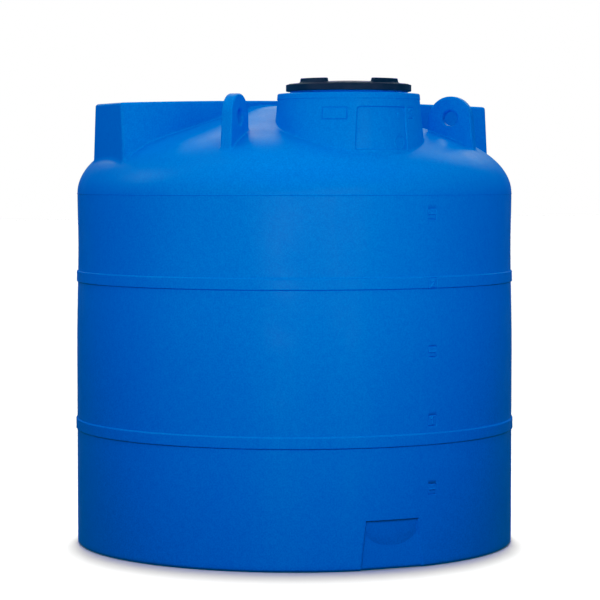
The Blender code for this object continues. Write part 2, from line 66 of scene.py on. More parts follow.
WAIST_INSET = 0.006
WAIST = 1.124
BELLY = 0.7235  # where the wall starts to draw in towards the waist
HOOPS = (0.449, 0.998)
HOOP_HEIGHT = 0.044
HOOP_PROUD = 0.0044
HOOP_EDGE = 0.004
FLASH_HEIGHT = 0.0035  # the thin bead that the mould's halves leave
FLASH_PROUD = 0.0014

# Roof.
ROOF_REACH = 0.445
ROOF_RISE = 0.24
ROOF_SLOPE = math.radians(18)
CROWN_FLAT = 0.20
CROWN_EASE = 0.26

# Ridge across the roof.
RIDGE_HALF_LENGTH = 0.747
RIDGE_HALF_WIDTH = 0.132
RIDGE_DRAFT = math.radians(5.6)
RIDGE_TOP = 1.633
RIDGE_CROWN = 0.014
RIDGE_EDGE = 0.010
RIDGE_FILLET = 0.010

# Manway neck and its spigot.
NECK_Y = -0.459
NECK_RADIUS = 0.2525
NECK_DRAFT = math.radians(5.7)
NECK_TOP = 1.663
NECK_EDGE = 0.004
NECK_FILLET = 0.006
BAND_HEIGHT = 0.022
BAND_PROUD = 0.0018
SPIGOT_RADIUS = 0.209
SPIGOT_TOP = 1.685
SPIGOT_BORE = 0.197
THREAD_HEIGHT = 0.003
THREAD_PITCH = 0.010

# Lifting lugs.
LUG_ANGLES = (45, 180, 315)  # round the body, from the front
LUG_OUT = 0.612
LUG_Z = 1.580
LUG_RADIUS = 0.081
LUG_THICKNESS = 0.042
LUG_FLARE = math.radians(5.0)
LUG_HOLE = 0.0275
LUG_EDGE = 0.007
LUG_FILLET = 0.009

# Flat for an outlet.
OUTLET_PLANE = 0.800
OUTLET_TOP = 0.175
OUTLET_TOP_HALF = 0.103
OUTLET_FOOT_HALF = 0.124
OUTLET_STEP = 0.005

# Lid.
LID_RADIUS = 0.2245
LID_BORE = 0.216
LID_THREAD = 0.213
LID_FOOT = 1.672
LID_RIM_TOP = 1.6955
LID_UNDERSIDE = 1.6896
LID_EDGE = 0.0018
LID_STEP = 0.0025
LID_CROWN = 0.0122
LID_DOME_RADIUS = 0.2165
LID_PLATE = 0.005
RIBS = 12  # under the plate
RIB_THICKNESS = 0.0032
RIB_END = 0.150
GRIP_ANGLES = (20, 110, 200, 290)
GRIP_HALF_SPAN = math.radians(20)
GRIP_RADIUS = 0.195
GRIP_WIDTH = 0.024
GRIP_TOP = 1.7165
GRIP_EDGE = 0.0035
GRIP_LEAN = 0.12
GRIP_FILLET = 0.006
VENT_OFFSET = 0.155
VENT_ANGLE = 155
VENT_HOLE = 0.0155
VENT_BOSS = 0.028
VENT_SEAT = 1.70556
VENT_UNDER = 1.69648

# Graduation marks, up the wall and onto the neck.
MARK_ANGLE = 11.4
MARK_WIDTH = 0.036
MARK_HEIGHT = 0.037
MARK_LINE = 0.0036
MARK_DEPTH = 0.0032
MARK_CORNER = 0.003
WALL_MARKS = ((0.271, "bar"), (0.513, "1"), (0.755, "bar"), (0.995, "2"), (1.238, "bar"))

# Camera, round the body from the front.
CAMERA_ANGLE = -25.0
CAMERA_DISTANCE = 9.303
CAMERA_HEIGHT = 1.3823
CAMERA_PITCH = math.radians(-2.949)
CAMERA_YAW = math.radians(0.128)
CAMERA_VIEW = math.radians(13.833)


def round_front(angle):
    """The outward direction at an angle round the body from the front, counter-clockwise from above."""
    turn = math.radians(angle)
    return np.array((math.sin(turn), -math.cos(turn), 0.0))


# Meshes.


def mesh_piece(name, points, faces, normals=None):
    mesh = bpy.data.meshes.new(name)
    mesh.from_pydata(np.asarray(points).tolist(), [], np.asarray(faces).tolist())
    mesh.validate()
    mesh.shade_smooth()
    if normals is not None:
        mesh.normals_split_custom_set_from_vertices(normals.tolist())
    piece = bpy.data.objects.new(name, mesh)
    bpy.context.scene.collection.objects.link(piece)
    return piece


def grid_faces(rows, columns, wrap):
    """Quads between the rows of a grid whose columns may wrap round."""
    index = np.arange(rows * columns).reshape(rows, columns)
    if wrap:
        index = np.hstack([index, index[:, :1]])
    a, b, c, d = index[:-1, :-1], index[:-1, 1:], index[1:, 1:], index[1:, :-1]
    return np.stack([a, d, c, b], axis=-1).reshape(-1, 4)


def surface_net(field, axes):
    """Quads round the zero surface of a sampled field, with one point in each cell that it crosses."""
    inside = field < 0
    shape = np.array(field.shape)
    cells, places, quads = [], [], []
    for axis in range(3):
        others = [(axis + 1) % 3, (axis + 2) % 3]
        low = np.take(inside, range(shape[axis] - 1), axis)
        high = np.take(inside, range(1, shape[axis]), axis)
        at = np.argwhere(low != high)
        step = np.eye(3, dtype=int)
        end = at + step[axis]
        start_value = field[tuple(at.T)]
        share = start_value / (start_value - field[tuple(end.T)])
        place = np.stack([axes[i][at[:, i]] for i in range(3)], axis=1)
        place[:, axis] += share * (axes[axis][end[:, axis]] - axes[axis][at[:, axis]])
        corners = []
        for back_1, back_2 in ((0, 0), (1, 0), (1, 1), (0, 1)):
            cell = at - back_1 * step[others[0]] - back_2 * step[others[1]]
            corners.append(np.ravel_multi_index(tuple(cell.T), shape))
        quad = np.stack(corners, axis=1)
        leaving = start_value < 0
        quad[~leaving] = quad[~leaving][:, ::-1]
        cells.append(quad.ravel())
        places.append(np.repeat(place, 4, axis=0))
        quads.append(quad)
    names, number = np.unique(np.concatenate(cells), return_inverse=True)
    count = np.bincount(number)
    places = np.concatenate(places)
    points = np.stack([np.bincount(number, places[:, i]) / count for i in range(3)], axis=1)
    return points, np.searchsorted(names, np.concatenate(quads))


def slope(shape, points, reach=0.0004):
    """A field's gradient at points."""
    parts = []
    for step in np.eye(3) * reach:
        parts.append((shape(*(points + step).T) - shape(*(points - step).T)) / (2 * reach))
    return np.stack(parts, axis=1)


def settle(shape, points, rounds=3, limit=0.003):
    """Moves points onto a field's zero surface and returns them with their normals."""
    for _ in range(rounds):
        gradient = slope(shape, points)
        size = np.maximum((gradient**2).sum(axis=1), 0.25)
        step = np.clip(shape(*points.T) / np.sqrt(size), -limit, limit) / np.sqrt(size)
        points = points - gradient * step[:, None]
    gradient = slope(shape, points)
    return points, gradient / np.linalg.norm(gradient, axis=1)[:, None]


def field_piece(name, shape, low, high, pitch):
    """A piece meshed from a field inside a box."""
    axes = [np.arange(a, b + pitch, pitch) for a, b in zip(low, high)]
    x, y, z = np.meshgrid(*axes, indexing="ij", sparse=True)
    field = np.broadcast_to(shape(x, y, z), [len(axis) for axis in axes])
    points, quads = surface_net(field, axes)
    points, normals = settle(shape, points)
    return mesh_piece(name, points, quads, normals)


# Fields: negative inside, and close to a distance near the surface.


def ease(value):
    value = np.clip(value, 0.0, 1.0)
    return value * value * (3 - 2 * value)


def join(a, b, blend):
    """The union of two fields, with a fillet."""
    near = np.maximum(blend - np.abs(a - b), 0.0) / blend
    return np.minimum(a, b) - near * near * blend / 4


def rounded(sides, radius):
    """Where all the sides' fields meet, with rounded edges."""
    total = sum(np.maximum(side + radius, 0.0) ** 2 for side in sides)
    largest = sides[0]
    for side in sides[1:]:
        largest = np.maximum(largest, side)
    return np.sqrt(total) - radius + np.minimum(largest + radius, 0.0)


SHOULDER_RADIUS = BODY_RADIUS - SHOULDER_INSET
SHOULDER_TURN = math.atan2(ROOF_RISE, ROOF_REACH * math.tan(ROOF_SLOPE))
CONE_FOOT = SHOULDER_RADIUS - ROOF_REACH * (1 - math.cos(SHOULDER_TURN))
CONE_FOOT_Z = PARTING + ROOF_RISE * math.sin(SHOULDER_TURN)
CONE_END = CROWN_FLAT + CROWN_EASE * math.sin(ROOF_SLOPE)
CONE_END_Z = CONE_FOOT_Z + (CONE_FOOT - CONE_END) * math.tan(ROOF_SLOPE)
CROWN_Z = CONE_END_Z + CROWN_EASE * (1 - math.cos(ROOF_SLOPE))


def roof_height(radius):
    """The cone's and crown's height at a distance from the axis."""
    cone = CONE_FOOT_Z + (CONE_FOOT - radius) * math.tan(ROOF_SLOPE)
    out = np.clip(radius - CROWN_FLAT, 0.0, CONE_END - CROWN_FLAT)
    crown = CROWN_Z - CROWN_EASE + np.sqrt(CROWN_EASE**2 - out**2)
    return np.where(radius > CONE_END, cone, crown)


def roof_field(x, y, z):
    radius = np.sqrt(x * x + y * y)
    lean = np.clip((radius - CROWN_FLAT) / (CONE_END - CROWN_FLAT), 0.0, 1.0) * ROOF_SLOPE
    top = (z - roof_height(radius)) * np.cos(lean)
    across = (radius - (SHOULDER_RADIUS - ROOF_REACH)) / ROOF_REACH
    up = (z - PARTING) / ROOF_RISE
    reach = np.sqrt(across**2 + up**2)
    stretch = np.sqrt((across / ROOF_REACH) ** 2 + (up / ROOF_RISE) ** 2)
    shoulder = reach * (reach - 1) / np.maximum(stretch, 1e-6)
    return np.where(radius > CONE_FOOT, shoulder, top)


def ridge_field(x, y, z, inset=0.0):
    end = np.abs(x) - RIDGE_HALF_LENGTH
    side = (np.abs(y) - RIDGE_HALF_WIDTH - (RIDGE_TOP - z) * math.tan(RIDGE_DRAFT)) * math.cos(RIDGE_DRAFT)
    top = z - RIDGE_TOP - RIDGE_CROWN * (1 - (x / RIDGE_HALF_LENGTH) ** 2)
    return rounded([end + inset, side + inset, top + inset], RIDGE_EDGE)


def neck_side(x, y, z):
    """Distance outside the neck's drafted side."""
    radius = np.sqrt(x * x + (y - NECK_Y) ** 2)
    return (radius - NECK_RADIUS - (NECK_TOP - z) * math.tan(NECK_DRAFT)) * math.cos(NECK_DRAFT)


def neck_field(x, y, z, inset=0.0):
    return rounded([neck_side(x, y, z) + inset, z - NECK_TOP + inset], NECK_EDGE)


def lug_field(x, y, z, angle):
    out = round_front(angle)
    along = x * out[0] + y * out[1] - LUG_OUT
    across = np.abs(x * out[1] - y * out[0])
    up = z - LUG_Z
    reach = np.sqrt(along**2 + up**2)
    flare = (np.abs(along) - LUG_RADIUS + up * math.tan(LUG_FLARE)) * math.cos(LUG_FLARE)
    outline = np.where(up > 0, reach - LUG_RADIUS, flare)
    outline = np.maximum(outline, LUG_HOLE - reach)
    return rounded([outline, across - LUG_THICKNESS / 2], LUG_EDGE)


def roof_forms(x, y, z):
    """The roof, ridge and lugs as one outer surface."""
    shape = join(roof_field(x, y, z), ridge_field(x, y, z), RIDGE_FILLET)
    for angle in LUG_ANGLES:
        shape = join(shape, lug_field(x, y, z, angle), LUG_FILLET)
    return shape


def shell_outside(x, y, z):
    """The roof's forms and the neck as one outer surface."""
    return join(roof_forms(x, y, z), neck_field(x, y, z), NECK_FILLET)


ROOF_DRAWN = 0.012  # thickness of the roof's mesh, which its inside doesn't show
ROOF_FOOT = PARTING - 0.012  # where the roof's mesh ends, inside the wall's
NECK_SKIN = 0.0125  # how far the neck's fine skin covers the roof's mesh
SKIN_LAP = 0.004  # height of the strip over the neck's foot where the skin lies on the roof's mesh


def neck_foot(x, y):
    """Height of the roof at the foot of the neck's side, beside a point."""
    away = np.sqrt(x * x + (y - NECK_Y) ** 2) + 1e-9
    side = NECK_RADIUS + (NECK_TOP - 1.5) * math.tan(NECK_DRAFT)
    radius = np.sqrt((x / away * side) ** 2 + (NECK_Y + (y - NECK_Y) / away * side) ** 2)
    shoulder = PARTING + ROOF_RISE * np.sqrt(
        np.clip(1 - ((radius - SHOULDER_RADIUS + ROOF_REACH) / ROOF_REACH) ** 2, 0, 1)
    )
    return np.where(radius > CONE_FOOT, shoulder, roof_height(radius))


def shell_field(x, y, z):
    """The moulding above the parting line, with its hollow and its bore, and room for the neck's skin."""
    room = NECK_SKIN * ease((z - neck_foot(x, y) - SKIN_LAP) / SKIN_LAP)
    shape = join(roof_forms(x, y, z), neck_field(x, y, z) + room, NECK_FILLET)
    hollow = join(roof_field(x, y, z) + ROOF_DRAWN, ridge_field(x, y, z, ROOF_DRAWN), WALL)
    hollow = join(hollow, neck_field(x, y, z, ROOF_DRAWN + NECK_SKIN), WALL)
    radius = np.sqrt(x * x + (y - NECK_Y) ** 2)
    bore = np.maximum(radius - SPIGOT_BORE, NECK_TOP - 2 * ROOF_DRAWN - z)
    shape = np.maximum(shape, -np.minimum(hollow, bore))
    return np.maximum(shape, ROOF_FOOT - z)


# Raised and sunk detail, as heights over a surface with u to the right and v up, in metres.


def stroke(u, v, start, end):
    """Distance from a straight stroke."""
    du, dv = end[0] - start[0], end[1] - start[1]
    along = np.clip(((u - start[0]) * du + (v - start[1]) * dv) / (du * du + dv * dv), 0, 1)
    return np.sqrt((u - start[0] - along * du) ** 2 + (v - start[1] - along * dv) ** 2)


def box_edge(u, v, half_width, half_height, radius):
    """Signed distance from a rounded rectangle's outline."""
    du, dv = np.abs(u) - half_width + radius, np.abs(v) - half_height + radius
    return np.hypot(np.maximum(du, 0), np.maximum(dv, 0)) + np.minimum(np.maximum(du, dv), 0) - radius


# Each figure as strokes in a square from -1 to 1.
FIGURES = {
    "bar": [((-0.9, 0.0), (0.9, 0.0))],
    "1": [((0.0, 0.7), (0.0, -0.7)), ((0.0, 0.7), (-0.3, 0.4))],
    "2": [((-0.4, 0.5), (-0.1, 0.7)), ((-0.1, 0.7), (0.3, 0.6)), ((0.3, 0.6), (0.35, 0.25)),
          ((0.35, 0.25), (-0.4, -0.7)), ((-0.4, -0.7), (0.45, -0.7))],
    "3": [((-0.4, 0.6), (0.0, 0.7)), ((0.0, 0.7), (0.35, 0.4)), ((0.35, 0.4), (0.0, 0.05)),
          ((0.0, 0.05), (0.4, -0.35)), ((0.4, -0.35), (0.0, -0.7)), ((0.0, -0.7), (-0.4, -0.6))],
}


def sunk_line(edge):
    """A groove along an outline, from the signed distance to it."""
    return -MARK_DEPTH * (1 - ease((np.abs(edge) - MARK_LINE / 4) / (MARK_LINE / 2)))


def mark_height(u, v, figure):
    """A sunk frame with a raised figure in it."""
    half_width, half_height = MARK_WIDTH / 2, MARK_HEIGHT / 2
    height = sunk_line(box_edge(u, v, half_width, half_height, MARK_CORNER))
    scale = np.array((half_width, half_height)) * 0.8
    near = np.inf
    for start, end in FIGURES[figure]:
        near = np.minimum(near, stroke(u, v, np.array(start) * scale, np.array(end) * scale))
    return height + MARK_DEPTH * (1 - ease(near / MARK_LINE))


# The wall.

WALL_COLUMNS = 240  # the coarse grid's; details have finer ones
WALL_ROW = 0.014


def wall_radius(z):
    """The wall's outer radius, without its hoops, in soft curves."""
    lower = BODY_RADIUS - WAIST_INSET * ease((z - BELLY) / (WAIST - BELLY))
    upper = BODY_RADIUS - WAIST_INSET + (WAIST_INSET - SHOULDER_INSET) * ease((z - WAIST) / (PARTING - WAIST))
    return np.where(z < WAIST, lower, upper)


def wall_detail(turn, z):
    """How far the wall's surface stands out, for its hoops, flash line and marks."""
    height = np.zeros(np.broadcast(turn, z).shape)
    for hoop in HOOPS:
        edge = HOOP_HEIGHT / 2 - np.abs(z - hoop)
        height = height + HOOP_PROUD * ease(edge / HOOP_EDGE)
    height = height + FLASH_PROUD * ease((FLASH_HEIGHT - np.abs(z - PARTING)) / FLASH_HEIGHT * 2)
    for middle, figure in WALL_MARKS:
        height = height + mark_height((turn - math.radians(MARK_ANGLE)) * BODY_RADIUS, z - middle, figure)
    return height


def outlet_radius(turn, z, radius):
    """The wall's radius with the outlet's flat sunk into it."""
    across = np.abs(np.sin(turn)) * radius
    half = OUTLET_FOOT_HALF + (OUTLET_TOP_HALF - OUTLET_FOOT_HALF) * z / OUTLET_TOP
    inside = np.minimum(ease((half - across) / OUTLET_STEP), ease((OUTLET_TOP - z) / OUTLET_STEP))
    flat = OUTLET_PLANE / np.maximum(np.cos(turn), 0.5)
    return np.where(np.cos(turn) > 0.5, radius + (np.minimum(flat, radius) - radius) * inside, radius)


def spread(coarse, fine_spans):
    """Steps from a coarse set, with finer ones in some spans."""
    values = [coarse] + [np.arange(low, high, step) for low, high, step in fine_spans]
    values = np.unique(np.round(np.concatenate(values), 6))
    smallest = min([step for _, _, step in fine_spans])
    keep = np.concatenate([[True], np.diff(values) > smallest * 0.4])
    return values[keep]


def make_wall():
    """The wall, its base and its inside, from the parting line down."""
    marks = math.radians(MARK_ANGLE)
    mark_reach = (MARK_WIDTH / 2 + 0.004) / BODY_RADIUS
    outlet_reach = math.asin(OUTLET_FOOT_HALF / BODY_RADIUS) + 0.01
    turns = spread(
        np.linspace(-math.pi, math.pi, WALL_COLUMNS, endpoint=False),
        [(-outlet_reach, outlet_reach, 0.0035), (marks - mark_reach, marks + mark_reach, 0.001)],
    )
    spans = [(hoop - HOOP_HEIGHT / 2 - 0.002, hoop + HOOP_HEIGHT / 2 + 0.002, 0.0015) for hoop in HOOPS]
    spans += [(z - MARK_HEIGHT / 2 - 0.003, z + MARK_HEIGHT / 2 + 0.003, 0.0009) for z, _ in WALL_MARKS]
    spans += [(OUTLET_TOP - 0.008, OUTLET_TOP + 0.002, 0.001), (PARTING - 0.006, PARTING + 0.0001, 0.0007)]
    heights = spread(np.arange(BASE_EDGE, PARTING, WALL_ROW), spans)[::-1]
    turn, z = np.meshgrid(turns, heights)
    radius = outlet_radius(turn, z, wall_radius(z) + wall_detail(turn, z))
    rows = [np.stack([np.sin(turn) * radius, -np.cos(turn) * radius, z], axis=-1)]
    foot = radius[-1]
    for bend in np.radians((15, 30, 45, 60, 75, 90)):
        edge = foot - BASE_EDGE * (1 - math.cos(bend))
        height = np.full_like(edge, BASE_EDGE * (1 - math.sin(bend)))
        rows.append(np.stack([np.sin(turns) * edge, -np.cos(turns) * edge, height], axis=-1)[None])
    inner = [(0.5, 0.0), (0.01, 0.0), (0.01, WALL), (0.5, WALL), (BODY_RADIUS - OUTLET_STEP * 5, WALL)]
    for ring, height in inner:
        level = np.full_like(turns, height)
        rows.append(np.stack([np.sin(turns) * ring, -np.cos(turns) * ring, level], -1)[None])
    for height in (0.012, OUTLET_TOP, OUTLET_TOP + 0.03, BELLY, WAIST, PARTING - 0.05, PARTING):
        level = np.full_like(turns, height)
        inside = outlet_radius(turns, level, wall_radius(level)) - WALL
        rows.append(np.stack([np.sin(turns) * inside, -np.cos(turns) * inside, level], -1)[None])
    rows = np.concatenate(rows)
    rows = np.concatenate([rows, rows[:1]])
    count = len(rows) - 1
    faces = grid_faces(count + 1, len(turns), True)
    faces = np.where(faces >= count * len(turns), faces - count * len(turns), faces)
    return mesh_piece("tank_wall", rows[:-1].reshape(-1, 3), faces)


# The neck's skin, from the spigot's foot over the ledge and down the side.

# Panel's top and foot: height, and its middle and half its width, round the neck.
PANEL_TOP = (1.6145, math.radians(2.7), math.radians(22.4))
PANEL_FOOT = (1.4590, math.radians(1.2), math.radians(23.0))
PANEL_CORNER = 0.012
PANEL_DEPTH = 0.006
PANEL_STEP = 0.0026
PANEL_LIP = 0.007  # the foot's step is a wider slope
DIMPLE_DEPTH = 0.0052
PLATE_TURN = math.radians(-37.3)
PLATE_Z = 1.5888
PLATE_HALF_WIDTH = 0.0440
PLATE_HALF_HEIGHT = 0.0205
PLATE_CORNER = 0.002
DIMPLE_TURN, DIMPLE_Z, DIMPLE_RADIUS = math.radians(15.1), 1.5868, 0.006
RING_TURN, RING_Z, RING_RADIUS = math.radians(16.6), 1.4898, 0.023
NECK_MARK_TURN, NECK_MARK_Z = math.radians(31.2), 1.593
NECK_COLUMNS = 360
NECK_ROWS = 150  # down the side
SKIN_LIFT = 0.0002  # keeps the skin clear of the roof's mesh


def neck_detail(turn, z, side):
    """How far the neck's surface stands out, for its band, panel, plate, marks and dimple."""
    height = BAND_PROUD * ease((z - NECK_TOP + BAND_HEIGHT) / 0.002) * side
    share = (z - PANEL_FOOT[0]) / (PANEL_TOP[0] - PANEL_FOOT[0])
    panel_turn = PANEL_FOOT[1] + (PANEL_TOP[1] - PANEL_FOOT[1]) * share
    half_turn = PANEL_FOOT[2] + (PANEL_TOP[2] - PANEL_FOOT[2]) * share
    middle = (PANEL_TOP[0] + PANEL_FOOT[0]) / 2
    around = NECK_RADIUS + (NECK_TOP - z) * math.tan(NECK_DRAFT)
    edge = box_edge(
        (turn - panel_turn) * around,
        z - middle,
        half_turn * around,
        (PANEL_TOP[0] - PANEL_FOOT[0]) / 2,
        PANEL_CORNER,
    )
    step = PANEL_LIP + (PANEL_STEP - PANEL_LIP) * ease(share / 0.12)
    height = height - PANEL_DEPTH * ease(-edge / step)
    plate = box_edge(
        (turn - PLATE_TURN) * around, z - PLATE_Z, PLATE_HALF_WIDTH, PLATE_HALF_HEIGHT, PLATE_CORNER
    )
    height = height + sunk_line(plate)
    dimple = np.hypot((turn - DIMPLE_TURN) * around, z - DIMPLE_Z)
    height = height - DIMPLE_DEPTH * (1 - ease(dimple / DIMPLE_RADIUS))
    ring = np.abs(np.hypot((turn - RING_TURN) * around, z - RING_Z) - RING_RADIUS)
    height = height + MARK_DEPTH * 0.6 * (1 - ease(ring / MARK_LINE))
    return height + mark_height((turn - NECK_MARK_TURN) * around, z - NECK_MARK_Z, "3")


def make_neck_skin():
    """The ledge round the spigot and the neck's side, with its detail, down to the roof."""
    turns = spread(
        np.linspace(-math.pi, math.pi, NECK_COLUMNS, endpoint=False),
        [(math.radians(-52), math.radians(40), 0.004)],
    )
    out = np.stack([np.sin(turns), -np.cos(turns), np.zeros_like(turns)], axis=-1)
    foot = neck_foot(out[:, 0], NECK_Y + out[:, 1]) + 0.002
    rows, sides = [], []
    for radius in np.linspace(SPIGOT_RADIUS - 0.003, NECK_RADIUS - NECK_EDGE, 8):
        rows.append(out * radius + (0, NECK_Y, NECK_TOP))
        sides.append(0.0)
    for bend in np.radians(np.linspace(15, 75, 5)):
        radius = NECK_RADIUS - NECK_EDGE * (1 - math.sin(bend))
        rows.append(out * radius + (0, NECK_Y, NECK_TOP - NECK_EDGE * (1 - math.cos(bend))))
        sides.append(float(bend / (math.pi / 2)))
    top = NECK_TOP - NECK_EDGE
    for step in range(NECK_ROWS + 1):
        z = top + (foot - top) * step / NECK_ROWS
        radius = NECK_RADIUS + (NECK_TOP - z) * math.tan(NECK_DRAFT)
        row = out * radius[:, None] + (0, NECK_Y, 0)
        row[:, 2] = z
        rows.append(row)
        sides.append(1.0)
    points = np.concatenate(rows)
    points, normals = settle(shell_outside, points)
    side = np.repeat(sides, len(turns))
    detail = neck_detail(np.tile(turns, len(rows)), points[:, 2], side) * (side > 0)
    points = points + normals * (detail + SKIN_LIFT)[:, None]
    return mesh_piece("tank_neck_skin", points, grid_faces(len(rows), len(turns), True))


def make_spigot():
    """The threaded spigot, from its foot on the outside, over the top and down the bore."""
    turns = np.linspace(0, 2 * math.pi, 300, endpoint=False)
    outer = np.arange(NECK_TOP - 0.001, SPIGOT_TOP - 0.0012, 0.0007)
    turn, z = np.meshgrid(turns, outer)
    phase = (z - NECK_TOP) / THREAD_PITCH - turn / (2 * math.pi)
    crest = np.abs(phase - np.floor(phase) - 0.5) * THREAD_PITCH
    fade = ease((z - NECK_TOP - 0.002) / 0.002) * ease((SPIGOT_TOP - 0.002 - z) / 0.002)
    radius = SPIGOT_RADIUS + THREAD_HEIGHT * 0.95 * ease((0.0032 - crest) / 0.002) * fade
    rows = [np.stack([np.sin(turn) * radius, NECK_Y - np.cos(turn) * radius, z], axis=-1)]
    rim = 0.0012
    over = [
        (SPIGOT_RADIUS - rim * (1 - math.cos(bend)), SPIGOT_TOP - rim * (1 - math.sin(bend)))
        for bend in np.radians((30, 60, 90))
    ]
    over += [(SPIGOT_BORE + rim, SPIGOT_TOP), (SPIGOT_BORE, SPIGOT_TOP - rim)]
    over.append((SPIGOT_BORE, NECK_TOP - 2 * ROOF_DRAWN))
    for radius, z in over:
        level = np.full_like(turns, z)
        rows.append(np.stack([np.sin(turns) * radius, NECK_Y - np.cos(turns) * radius, level], axis=-1)[None])
    rows = np.concatenate(rows)
    faces = grid_faces(len(rows), len(turns), True)[:, ::-1]
    return mesh_piece("tank_spigot", rows.reshape(-1, 3), faces)


# The lid.

VENT_PLACE = round_front(VENT_ANGLE) * VENT_OFFSET + (0, NECK_Y, 0)


def lid_field(x, y, z):
    """The lid with its crown, grips and vent's boss, its thread and the ribs under its plate."""
    radius = np.sqrt(x * x + (y - NECK_Y) ** 2)
    turn = np.arctan2(x, -(y - NECK_Y))
    rim = rounded([radius - LID_RADIUS, z - LID_RIM_TOP, LID_FOOT - z], LID_EDGE)
    dome_z = LID_RIM_TOP + LID_STEP + LID_CROWN * (1 - (radius / LID_DOME_RADIUS) ** 2)
    dome = rounded([radius - LID_DOME_RADIUS, z - dome_z, LID_UNDERSIDE - z], 0.0015)
    shape = join(rim, dome, 0.003)
    for angle in GRIP_ANGLES:
        aside = (turn - math.radians(angle) + math.pi) % (2 * math.pi) - math.pi
        end = (np.abs(aside) - GRIP_HALF_SPAN) * GRIP_RADIUS
        across = np.abs(radius - GRIP_RADIUS + GRIP_WIDTH / 2) - GRIP_WIDTH / 2
        lean = (z - LID_RIM_TOP) * GRIP_LEAN
        grip = rounded([end + lean, across + lean, z - GRIP_TOP, LID_UNDERSIDE - z], GRIP_EDGE)
        shape = join(shape, grip, GRIP_FILLET)
    away = np.sqrt((x - VENT_PLACE[0]) ** 2 + (y - VENT_PLACE[1]) ** 2)
    shape = join(shape, rounded([away - VENT_BOSS, z - VENT_SEAT, VENT_UNDER - z], 0.001), 0.002)
    phase = (z - LID_FOOT) / THREAD_PITCH - turn / (2 * math.pi)
    crest = np.abs(phase - np.floor(phase) - 0.5) * THREAD_PITCH
    depth = (LID_BORE - LID_THREAD) * ease((0.003 - crest) / 0.002) * ease((z - LID_FOOT - 0.001) / 0.002)
    depth = depth * ease((LID_UNDERSIDE - 0.002 - z) / 0.002)
    bore = np.maximum(radius - LID_BORE + depth, z - LID_UNDERSIDE)
    under = np.maximum(radius - SPIGOT_BORE + 0.012, z - dome_z + LID_PLATE)
    ribs = np.abs((turn / (2 * math.pi) * RIBS) % 1 - 0.5) * 2 * math.pi / RIBS * radius - RIB_THICKNESS / 2
    under = np.maximum(under, -np.maximum(ribs, radius - RIB_END))
    hollow = np.minimum(bore, under)
    shape = np.maximum(shape, -hollow)
    boss = np.maximum(away - VENT_BOSS, VENT_UNDER - z)
    boss = np.maximum(boss, z - VENT_SEAT)
    shape = np.minimum(shape, boss)
    return np.maximum(shape, VENT_HOLE - away)


# Materials.


def new_material(name):
    material = bpy.data.materials.new(name)
    material.use_nodes = True
    tree = material.node_tree
    return material, tree, tree.nodes["Principled BSDF"]


def add(tree, kind, **sockets):
    node = tree.nodes.new(kind)
    for name, value in sockets.items():
        node.inputs[name.replace("_", " ")].default_value = value
    return node


def noise(tree, scale, detail=2.0):
    """Noise in the object's own place, finer with a larger scale."""
    place = tree.nodes.new("ShaderNodeTexCoord")
    node = add(tree, "ShaderNodeTexNoise", Scale=scale, Detail=detail)
    tree.links.new(place.outputs["Object"], node.inputs["Vector"])
    return node.outputs["Fac"]


def ranged(tree, value, low, high, start=0.35, end=0.65):
    """A value from start to end, spread from low to high."""
    node = add(tree, "ShaderNodeMapRange")
    for name, number in (("From Min", start), ("From Max", end), ("To Min", low), ("To Max", high)):
        node.inputs[name].default_value = number
    tree.links.new(value, node.inputs["Value"])
    return node.outputs["Result"]


def mixed(tree, share, first, second):
    """A colour between two, each a colour or another mix. The share is a number or a node's value."""
    node = tree.nodes.new("ShaderNodeMix")
    node.data_type = "RGBA"
    if isinstance(share, float):
        node.inputs["Factor"].default_value = share
    else:
        tree.links.new(share, node.inputs["Factor"])
    for socket, colour in ((node.inputs["A"], first), (node.inputs["B"], second)):
        if isinstance(colour, tuple):
            socket.default_value = (*colour, 1.0)
        else:
            tree.links.new(colour, socket)
    return node.outputs["Result"]


def bumped(tree, shader, layers):
    """Bump layers of (height, strength, distance), the broadest first."""
    normal = None
    for height, strength, distance in layers:
        bump = add(tree, "ShaderNodeBump", Strength=strength, Distance=distance)
        tree.links.new(height, bump.inputs["Height"])
        if normal:
            tree.links.new(normal, bump.inputs["Normal"])
        normal = bump.outputs["Normal"]
    tree.links.new(normal, shader.inputs["Normal"])


def tank_plastic():
    """Rotomoulded polyethylene: satin, faintly pebbled, with a fine fleck in its blue."""
    material, tree, shader = new_material("tank_plastic")
    cloud = ranged(tree, noise(tree, 55.0, 3.0), 0.0, 1.0)
    fleck = ranged(tree, noise(tree, 190.0, 3.0), 0.0, 1.0, 0.38, 0.64)
    colour = mixed(tree, cloud, (0.0, 0.150, 0.585), (0.0, 0.182, 0.63))
    shade = mixed(tree, fleck, (0.0, 0.130, 0.53), (0.0, 0.205, 0.68))
    tree.links.new(mixed(tree, 0.5, colour, shade), shader.inputs["Base Color"])
    tree.links.new(ranged(tree, noise(tree, 9.0, 4.0), 0.36, 0.44), shader.inputs["Roughness"])
    shader.inputs["Specular IOR Level"].default_value = 0.22
    bumped(
        tree,
        shader,
        [
            (noise(tree, 3.5, 2.0), 0.10, 0.006),
            (noise(tree, 45.0, 3.0), 0.20, 0.0014),
            (noise(tree, 220.0, 3.0), 0.55, 0.0008),
        ],
    )
    return material


